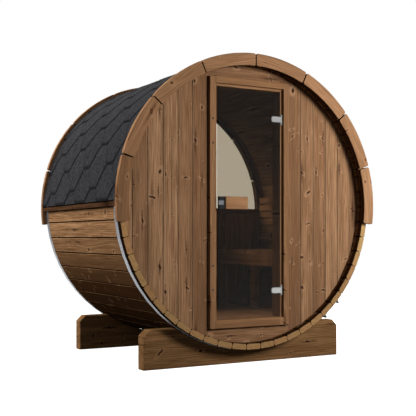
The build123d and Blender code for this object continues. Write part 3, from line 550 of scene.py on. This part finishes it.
# Pan heads of four black screws in the left jamb, placed by their heights from the barrel's axis: a profile
# of shares of the radius by lifts from the wood, turned about each screw
around = np.linspace(0.0, 2 * np.pi, screw_sides + 1)[:-1]
spoke = screw_radius * np.array(screw_shares)[:, None]
lift = np.array(screw_lifts)[:, None] + 0 * around
parts = []
for height in screw_heights:
    x, z = spoke * np.cos(around) - (inner + outer) / 2, axis + height + spoke * np.sin(around)
    rings = np.stack([x, proud - lift, z], -1)
    parts.append((rings, rings, 0.5))
lumber("door_jamb_left_screws", parts, [black_finish], [])

# Head and threshold: a proud rail and the part in the wall behind it; only the head has a lip for the glass
for name, sign, rebate in (("door_head", 1, frame_lip), ("door_threshold", -1, 0.0)):
    low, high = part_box(name)
    rail_half, back_half = high.x, lip - crease
    bare, far = (low.z, high.z) if sign > 0 else (high.z, low.z)
    foot, head = sorted((bare + sign * rebate, far - sign * shadow_gap))
    parts = [squared((-rail_half, proud, foot), (rail_half, gap_floor, head), 0, frame_ease, rail_tone),
             squared((-back_half, seat, low.z), (back_half, deep, high.z), 0, frame_ease, rail_back_tone)]
    lumber(f"{name}_rail", parts, [frame_finish], [name])

# Rear wall and window
# Upright boards to the height of the axis, then a level sill and a half-moon pane of bronze glass held in
# the slot of an arch cut from six curved boards.
rear_least = 0.001
sill_ease = 0.003
arch_pieces = 6
arch_width = 0.045
arch_joint = 0.0004
arch_corner = 0.001
arch_ease = 0.002
corner_rings, arc_rings = 5, 12
low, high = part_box("rear_wall")
rear_top = high.z
parts = []
edges = np.append(np.arange(0.0, wall_radius, wall_pitch), wall_radius)
for near, far in zip(edges[:-1], edges[1:]):
    for sign in (1, -1):
        x0, x1 = sorted((sign * (near + wall_joint / 2), sign * (far - wall_joint / 2)))
        board = upright_board(x0, x1, low.y, high.y,
                              lambda x: np.minimum(axis - rim(x), rear_top - rear_least),
                              lambda x: np.full_like(x, rear_top))
        parts.append(board)
lumber("rear_wall_boards", parts, [wall_finish], ["rear_wall"])

# The window frame's browns are darker than the cladding's as painted shade
window_finish = spruce("Spruce window frame painted in shade", "#8a6242", "#6e4b30", "#553722", "#2b190e")
low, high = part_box("rear_window_sill")
section = eased([(low.y, low.z), (high.y, low.z), (high.y, high.z), (low.y, high.z)], sill_ease)
y, z, share = carried(section, (-1.0, 1.0), (0.0, 0.0))
x = share * np.sqrt(wall_radius ** 2 - (z - axis) ** 2)
plank = (np.stack([x, y, z], -1), np.stack([y, z, x], -1), 0.5)
lumber("rear_window_sill_board", [plank], [window_finish], ["rear_window_sill"])


def curved_board(r0, r1, y0, y1, start, end, corner, ease, tone, shade):
    """A board sawn to an arc: an eased rectangle of radius by depth, carried round the barrel's axis between
    two angles. Near each end its radial width narrows on a quarter circle, which rounds the corners; its
    grain runs straight. Its ends carry painted shade for the joint between boards, and its inner edge
    painted shade by the share shade."""
    phase = np.linspace(0.0, np.pi / 2, corner_rings)
    tip = corner * (1 - np.cos(phase)) / r1
    narrowing = corner * (1 - np.sin(phase))
    middle = np.linspace(start + corner / r1, end - corner / r1, arc_rings)[1:-1]
    turn = np.concatenate([start + tip, middle, (end - tip)[::-1]])
    narrow = np.concatenate([narrowing, np.zeros(len(middle)), narrowing[::-1]])
    section = eased([(r0, y0), (r1, y0), (r1, y1), (r0, y1)], ease)
    centre, half = (r0 + r1) / 2, (r1 - r0) / 2
    radius = centre + (section[:, 0] - centre) * (1 - narrow[:, None] / half)
    y = np.broadcast_to(section[:, 1], radius.shape)
    x, z = radius * np.cos(turn[:, None]), axis + radius * np.sin(turn[:, None])
    away = turn[:, None] - (start + end) / 2
    grain = np.stack([radius * np.cos(away), y, radius * np.sin(away)], -1)
    tones = np.full(radius.shape, tone)
    tones[[0, -1]] = seam_shade_tone
    tones[:, [0, -1]] = -shade
    return np.stack([x, y, z], -1), grain, tones


low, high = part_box("rear_window_arch")
springing = np.arcsin((low.z - axis) / wall_radius)
joints = np.linspace(0.0, np.pi, arch_pieces + 1)
joints[[0, -1]] = springing, np.pi - springing
parts = []
for start, end in zip(joints[:-1] + arch_joint, joints[1:] - arch_joint):
    parts.append(curved_board(inner_face - arch_width, wall_radius, low.y, high.y, start, end, arch_corner,
                              arch_ease, draw.uniform(0.2, 0.8), 1.0))
lumber("rear_window_arch_boards", parts, [window_finish], ["rear_window_arch"])

# Bronze float glass, toughened and tinted in the mass: it darkens what is behind it and shines weakly
glass_body = 0.11
glass_finish, tree, surface = new_finish("Bronze float glass")
surface.inputs["Base Color"].default_value = linear("#0d0a08")
surface.inputs["Roughness"].default_value = 0.02
surface.inputs["Specular IOR Level"].default_value = 0.8
tint = add(tree, "BsdfTransparent", {}, {"Color": linear("#f0ece4")})["BSDF"]
mixed = add(tree, "MixShader", {}, {0: glass_body, 1: tint, 2: surface.outputs["BSDF"]})["Shader"]
tree.links.new(mixed, tree.nodes["Material Output"].inputs["Surface"])
coat(glass_finish, "rear_window_glass", "door_glass")

# Roof covering
# Bitumen shingles with slate granules, nailed over the top half of the staves in courses of hexagonal tabs
# above a straight starter strip at each eave. Each tab is its own thin sheet, lapped over the course below.
roof_bed = 0.0022
roof_radius = barrel_radius + roof_bed
eave_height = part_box("roof_covering")[0].z - axis
tangent = np.radians(13.0)
skirt = (roof_radius * np.sin(tangent) - eave_height) / np.cos(tangent)
ridge = skirt + (np.pi / 2 - tangent) * roof_radius
starter_lift = 0.0004
starter_rows = 5
starter_tone = 0.3
first_course = 0.0904
course_rise = 0.1548
first_offset = 0.422
first_centre = front + first_offset
tab_pitch = 0.410
tab_flat = 0.105
tab_thickness = 0.0018
tab_slack = 0.0013
tab_foot_lift = 2 * tab_thickness + tab_slack
tab_head_lift = 0.0006
tab_lap = 0.030
tab_slit = 0.0008
tab_least = 0.004
tab_step = 0.0004
tab_edge = 0.030
shown_rows, lapped_rows = 6, 7
edge_share = 0.3
bare_edge_and_shadow = 2.0
cap_half = 0.150
cap_length = 0.300
cap_lap = 0.060
cap_lift = 0.0070
cap_tilt = 0.0034
cap_rows = 9
cap_tone = 0.5


def on_roof(s, y, lift, sign):
    """Point of the roof: s metres up from the eave it follows the straight skirt, then the circle that the
    skirt is tangent to; lift is measured along the outward normal there."""
    turn = np.where(s < skirt, tangent, tangent + (s - skirt) / roof_radius)
    drop = np.maximum(skirt - s, 0.0)
    x = (roof_radius + lift) * np.cos(turn) + drop * np.sin(tangent)
    z = (roof_radius + lift) * np.sin(turn) - drop * np.cos(tangent)
    return np.stack([sign * x, y, axis + z], -1)


def sheet(s, left, right, base, sign, tone, edged=0.0, tilt=0.0):
    """A thin closed sheet on the roof: row k lies at s[k] between left and right, its underside lifted by
    base there and by tilt towards the back; each ring goes across the top of a row and back along its
    underside. Its edges' tone is lowered by edged, less so at the back, to mark them as bare bitumen and as
    painted shadow under the edges."""
    left, right, base = (np.broadcast_to(value, s.shape)[:, None] for value in (left, right, base))
    width = right - left
    edge = np.minimum(tab_edge / np.maximum(width, tab_edge), edge_share)
    share = np.concatenate([0 * edge, edge, 0 * edge + 0.5, 1 - edge, 0 * edge + 1], 1)
    y = left + share * width
    s, base = np.broadcast_to(s[:, None], y.shape), base + tilt * share
    top, under = on_roof(s, y, base + tab_thickness, sign), on_roof(s, y, base, sign)
    grain = np.stack([y, base, s], -1)
    border = np.where((share == 0) | (s == s[0]), 1.0, 0.4 * (share == 1))
    tones = tone - edged * np.concatenate([border, border[:, ::-1]], 1)
    return np.concatenate([top, under[:, ::-1]], 1), np.concatenate([grain, grain[:, ::-1]], 1), tones


def tab(centre, edge, sign):
    """One shingle tab, or none past the roof's ends: its half-width grows from half the flat by the slant
    over one course, then steps to half the pitch, where the tabs of a strip join under the next course."""
    slant = tab_pitch / 2 - tab_flat
    short = max(front - centre, centre - back, 0.0)
    rise = max(-edge, (short + tab_least - tab_flat / 2) / slant * course_rise, 0.0)
    if rise >= course_rise:
        return []
    top = 2 * course_rise + tab_lap
    second = min(rise + tab_edge, (rise + course_rise) / 2)
    shown = np.linspace(second, course_rise, shown_rows)
    lapped = np.linspace(course_rise + tab_step, top, lapped_rows)
    up = np.concatenate([[rise], shown, lapped])
    half = np.where(up <= course_rise, tab_flat / 2 + up / course_rise * slant, tab_pitch / 2 - tab_slit)
    base = np.interp(up, [0.0, top], [tab_foot_lift, tab_head_lift])
    left, right = np.maximum(centre - half, front), np.minimum(centre + half, back)
    return [sheet(edge + up, left, right, base, sign, draw.uniform(0.35, 0.65), bare_edge_and_shadow)]


# Slate granules make the sheet dull and speckled, in slow blotches; where they end, the bitumen shows
# black, and at the tabs' edges that black is also painted shadow under them.
# Granules are drawn 9 mm across, about six times their size, so that they show.
granule, blotch_size = 0.009, 0.09
shingle_finish, tree, surface = new_finish("Bitumen shingle with slate granules")
place = add(tree, "TexCoord")["Object"]
tone = add(tree, "Attribute", {"attribute_name": "tone"})["Fac"]
granules = add(tree, "TexVoronoi", {}, {"Vector": place, "Scale": 1 / granule})
speckle = add(tree, "SeparateColor", {}, {0: granules["Color"]})[0]
blotch = add(tree, "TexNoise", {}, {"Vector": place, "Scale": 1 / blotch_size, "Detail": 3.0})["Fac"]
colour = add(tree, "Mix", rgba, {0: tone, 6: linear("#1f1f21"), 7: linear("#29292b")})[2]
level = add(tree, "MapRange", {}, {"Value": speckle, 1: 0.0, 2: 1.0, 3: 0.35, 4: 1.65})["Result"]
colour = add(tree, "VectorMath", {"operation": "SCALE"}, {0: colour, "Scale": level})["Vector"]
level = add(tree, "MapRange", {}, {"Value": blotch, 1: 0.3, 2: 0.7, 3: 0.88, 4: 1.12})["Result"]
colour = add(tree, "VectorMath", {"operation": "SCALE"}, {0: colour, "Scale": level})["Vector"]
# Bare bitumen and painted shadow at the tabs' edges
bare = add(tree, "MapRange", {}, {"Value": tone, 1: -0.1, 2: -0.6, 3: 0.0, 4: 1.0})["Result"]
colour = add(tree, "Mix", rgba, {0: bare, 6: colour, 7: linear("#050506")})[2]
tree.links.new(colour, surface.inputs["Base Color"])
surface.inputs["Roughness"].default_value = 0.88
surface.inputs["Specular IOR Level"].default_value = 0.1
grit = granules["Distance"]
relief = add(tree, "Bump", {}, {"Height": grit, "Strength": 0.5, "Distance": 0.0012})["Normal"]
tree.links.new(relief, surface.inputs["Normal"])

parts = []
tabs_each_way = int((back - front) / tab_pitch) + 2
for sign in (1, -1):
    rows = np.linspace(0.0, first_course + tab_lap, starter_rows)
    parts.append(sheet(rows, front, back, starter_lift, sign, starter_tone))
    for course in range(-1, int((ridge - first_course) / course_rise) + 1):
        shift = first_centre + (course % 2) * tab_pitch / 2
        for index in range(-tabs_each_way, tabs_each_way):
            parts += tab(shift + index * tab_pitch, first_course + course * course_rise, sign)
rows = np.linspace(ridge - cap_half, ridge + cap_half, cap_rows)
for y in np.arange(front, back - cap_lap, cap_length - cap_lap):
    parts.append(sheet(rows, y, min(y + cap_length, back), cap_lift, 1, cap_tone, bare_edge_and_shadow, cap_tilt))
lumber("roof_shingles", parts, [shingle_finish], ["roof_covering"])

# Eave battens
# Sawn strips under the lower edge of the shingles on each side, which hold that edge off the staves; they
# lie in its shadow, and their dark colour is painted shade.
batten_play = 0.0005
batten_ease = 0.003
# Its dark browns are painted shade
batten_finish = spruce("Spruce batten painted in shade", "#5a3d2a", "#46301f", "#302015", "#1c120b")
for side in ("left", "right"):
    low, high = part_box(f"eave_batten_{side}")
    near, far = (low.x, front + batten_play, low.z), (high.x, back - batten_play, high.z)
    strip = squared(near, far, 1, batten_ease, 0.5)
    lumber(f"eave_batten_{side}_strip", [strip], [batten_finish], [f"eave_batten_{side}"])

# Roof edge boards
# Eight boards sawn to an arc over each end of the barrel, screwed to the ends of the staves to cover the
# edge of the shingles. Their corners are rounded and a narrow joint is left between them.
trim_pieces = 8
trim_angle = np.radians(24.4)
trim_width = 0.085
trim_joint = 0.0095
trim_corner = 0.010
trim_ease = 0.004
trim_shade = 0.5
# Tones of the boards from right to left: pale on the right and deep on the left as painted light and shade,
# with some difference from board to board
trim_lit_tones = (0.95, 0.7, 0.75, 0.55, 0.5, 0.65, 0.5, 0.1)
trim_finish = spruce("Heat-treated spruce edge boards", "#b38864", "#987150", "#7c573b", "#5f3e28")
first = np.pi / 2 - trim_pieces / 2 * trim_angle
for end in ("front", "rear"):
    low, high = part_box(f"roof_trim_{end}")
    outer = high.z - axis
    inner = outer - trim_width
    parts = []
    for index, tone in enumerate(trim_lit_tones):
        a = first + index * trim_angle + trim_joint / 2 / outer
        b = first + (index + 1) * trim_angle - trim_joint / 2 / outer
        board = curved_board(inner, outer, low.y, high.y, a, b, trim_corner, trim_ease, tone, trim_shade)
        parts.append(board)
    lumber(f"roof_trim_{end}_boards", parts, [trim_finish], [f"roof_trim_{end}"])

# Door leaf
# A sheet of the same bronze glass hung on two satin clamps with rounded ends and black gaskets, with a
# wooden grip bolted on each face of it and a black latch with a zinc-plated bolt beside the grip.
grip_ease = 0.005
grip_play = 0.0003
# The gaskets reach 5 mm past the clamps, more than real ones, so that their black also stands in for the
# shadow round each clamp on the glass: painted shadow
gasket_shadow_margin = 0.005
gasket_corner, gasket_end = 0.020, 0.001
gasket_steps = 8
gasket_thickness = 0.00024
gasket_gap = gasket_thickness / 8
clamp_half = 0.019
knuckle_half = 0.020
# Oiled alder is close-grained and a little smoother than the spruce
grip_finish = spruce("Oiled alder grip", "#ac825f", "#a07552", "#8c6344", "#7f5437", rough=0.5)
low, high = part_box("door_handle")
pane_low, pane_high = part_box("door_glass")
faces = ((low.y, pane_low.y - grip_play), (pane_high.y + grip_play, high.y))
parts = [squared((low.x, y0, low.z), (high.x, y1, high.z), 0, grip_ease, 0.6) for y0, y1 in faces]
lumber("door_handle_grips", parts, [grip_finish], ["door_handle"], "door")

# Satin chrome is brushed level before plating, which leaves a pale metal with fine lines; they are drawn
# 1.5 mm apart, coarser than real ones, so that they show
brush_line, brush_length = 0.0015, 0.02
satin_finish, tree, surface = new_finish("Satin chromed brass")
place = add(tree, "TexCoord")["Object"]
brush = add(tree, "VectorMath", times,
            {0: place, 1: (1 / brush_length, 1 / brush_length, 1 / brush_line)})["Vector"]
lines = add(tree, "TexNoise", {}, {"Vector": brush, "Scale": 1.0, "Detail": 2.0})["Fac"]
colour = add(tree, "Mix", rgba, {0: lines, 6: linear("#929291"), 7: linear("#b4b4b2")})[2]
tree.links.new(colour, surface.inputs["Base Color"])
dull = add(tree, "MapRange", {}, {"Value": lines, 1: 0.2, 2: 0.8, 3: 0.30, 4: 0.44})["Result"]
tree.links.new(dull, surface.inputs["Roughness"])
surface.inputs["Metallic"].default_value = 0.9

# Moulded rubber is dull and black with a faint mottle
rubber_mottle = 0.004
gasket_finish, tree, surface = new_finish("Black rubber gasket")
place = add(tree, "TexCoord")["Object"]
mottle = add(tree, "TexNoise", {}, {"Vector": place, "Scale": 1 / rubber_mottle})["Fac"]
colour = add(tree, "Mix", rgba, {0: mottle, 6: linear("#0a0a0a"), 7: linear("#1a1a1a")})[2]
tree.links.new(colour, surface.inputs["Base Color"])
surface.inputs["Roughness"].default_value = 0.7
low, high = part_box("door_hinge_clamps")
left, right = low.x - gasket_shadow_margin, pane_high.x
reach = clamp_half + gasket_shadow_margin
parts = []
for middle in (low.z + knuckle_half, high.z - knuckle_half):
    foot, head = middle - reach, middle + reach
    corners = [(left, foot), (right, foot), (right, head), (left, head)]
    outline = eased(corners, (gasket_corner, gasket_end, gasket_end, gasket_corner), gasket_steps)
    for face, side in ((pane_low.y, -1), (pane_high.y, 1)):
        stations = (face + side * gasket_gap, face + side * gasket_thickness)
        x, z, y = carried(outline, stations, (0.0, 0.0))
        rings = np.stack([x, y, z], -1)
        parts.append((rings, rings, 0.5))
lumber("door_hinge_gaskets", parts, [gasket_finish], [], "door")
coat(satin_finish, "door_hinge_clamps", "door_hinge_plates")
coat(black_finish, "door_latch")
coat(band_finish, "door_latch_bolt")

# Studio
# A pale floor that fades into a white room, a soft lamp ahead, a larger one on either side and one behind.
# The floor and the room are white to the eye and to reflections; they light the object only softly.
floor_half = 40.0
floor_glow = 0.92
room_light = 0.125
white = (1.0, 1.0, 1.0, 1.0)


def seen_white(tree):
    """1 for rays from the camera, reflections and glass, 0 for light that falls on the object."""
    path = add(tree, "LightPath")
    ray = add(tree, "Math", larger, {0: path["Is Camera Ray"], 1: path["Is Glossy Ray"]})["Value"]
    return add(tree, "Math", larger, {0: ray, 1: path["Is Transmission Ray"]})["Value"]


corners = np.array([(-1, -1, 0), (1, -1, 0), (1, 1, 0), (-1, 1, 0)]) * floor_half
floor_mesh = bpy.data.meshes.new("studio_floor")
floor_mesh.from_pydata(corners.tolist(), [], [(0, 1, 2, 3)])
floor = bpy.data.objects.new("studio_floor", floor_mesh)
bpy.context.collection.objects.link(floor)
floor_finish, tree, surface = new_finish("White studio floor")
tree.nodes.remove(surface)
seen = seen_white(tree)
glow = add(tree, "Math", times, {0: seen, 1: floor_glow})["Value"]
glow = add(tree, "Emission", {}, {"Color": white, "Strength": glow})["Emission"]
shade = add(tree, "Mix", rgba, {0: seen, 6: linear("#383838"), 7: linear("#d8d8d8")})[2]
matt = add(tree, "BsdfDiffuse", {}, {"Color": shade})["BSDF"]
both = add(tree, "AddShader", {}, {0: glow, 1: matt})["Shader"]
tree.links.new(both, tree.nodes["Material Output"].inputs["Surface"])
floor_mesh.materials.append(floor_finish)

room = bpy.data.worlds.new("white_room")
room.use_nodes = True
tree = room.node_tree
seen = seen_white(tree)
glow = add(tree, "MapRange", {}, {"Value": seen, 1: 0.0, 2: 1.0, 3: room_light, 4: 1.0})["Result"]
tree.links.new(glow, tree.nodes["Background"].inputs["Strength"])
tree.nodes["Background"].inputs["Color"].default_value = white
bpy.context.scene.world = room

# Each lamp's place, width and power in watts; all are aimed at the middle of the barrel
lamps = {"ahead": ((1.6, -3.4, 2.0), 1.2, 112.0), "left": ((-5.0, 0.8, 3.3), 3.0, 315.0),
         "right": ((5.0, 1.2, 4.4), 3.0, 260.0), "behind": ((-1.2, 3.8, 4.4), 1.8, 240.0)}
for name, (place, size, power) in lamps.items():
    lamp = bpy.data.lights.new(name, "AREA")
    lamp.energy = power
    lamp.size = size
    holder = bpy.data.objects.new(name, lamp)
    bpy.context.collection.objects.link(holder)
    holder.location = place
    holder.visible_camera = holder.visible_glossy = False
    aim = Vector((0.0, 0.0, axis)) - Vector(place)
    holder.rotation_euler = aim.to_track_quat("-Z", "Y").to_euler()

camera_data = bpy.data.cameras.new("photo_view")
camera_data.sensor_width = 36.0
camera_data.lens = 72.247
camera_data.shift_y = 0.0701
camera = bpy.data.objects.new("photo_view", camera_data)
bpy.context.collection.objects.link(camera)
camera.location = (-3.066, -5.5812, 0.8714)
camera.rotation_euler = (np.radians(90.0), 0.0, np.radians(-29.13))
bpy.context.scene.camera = camera
bpy.context.scene.view_settings.view_transform = "Standard"
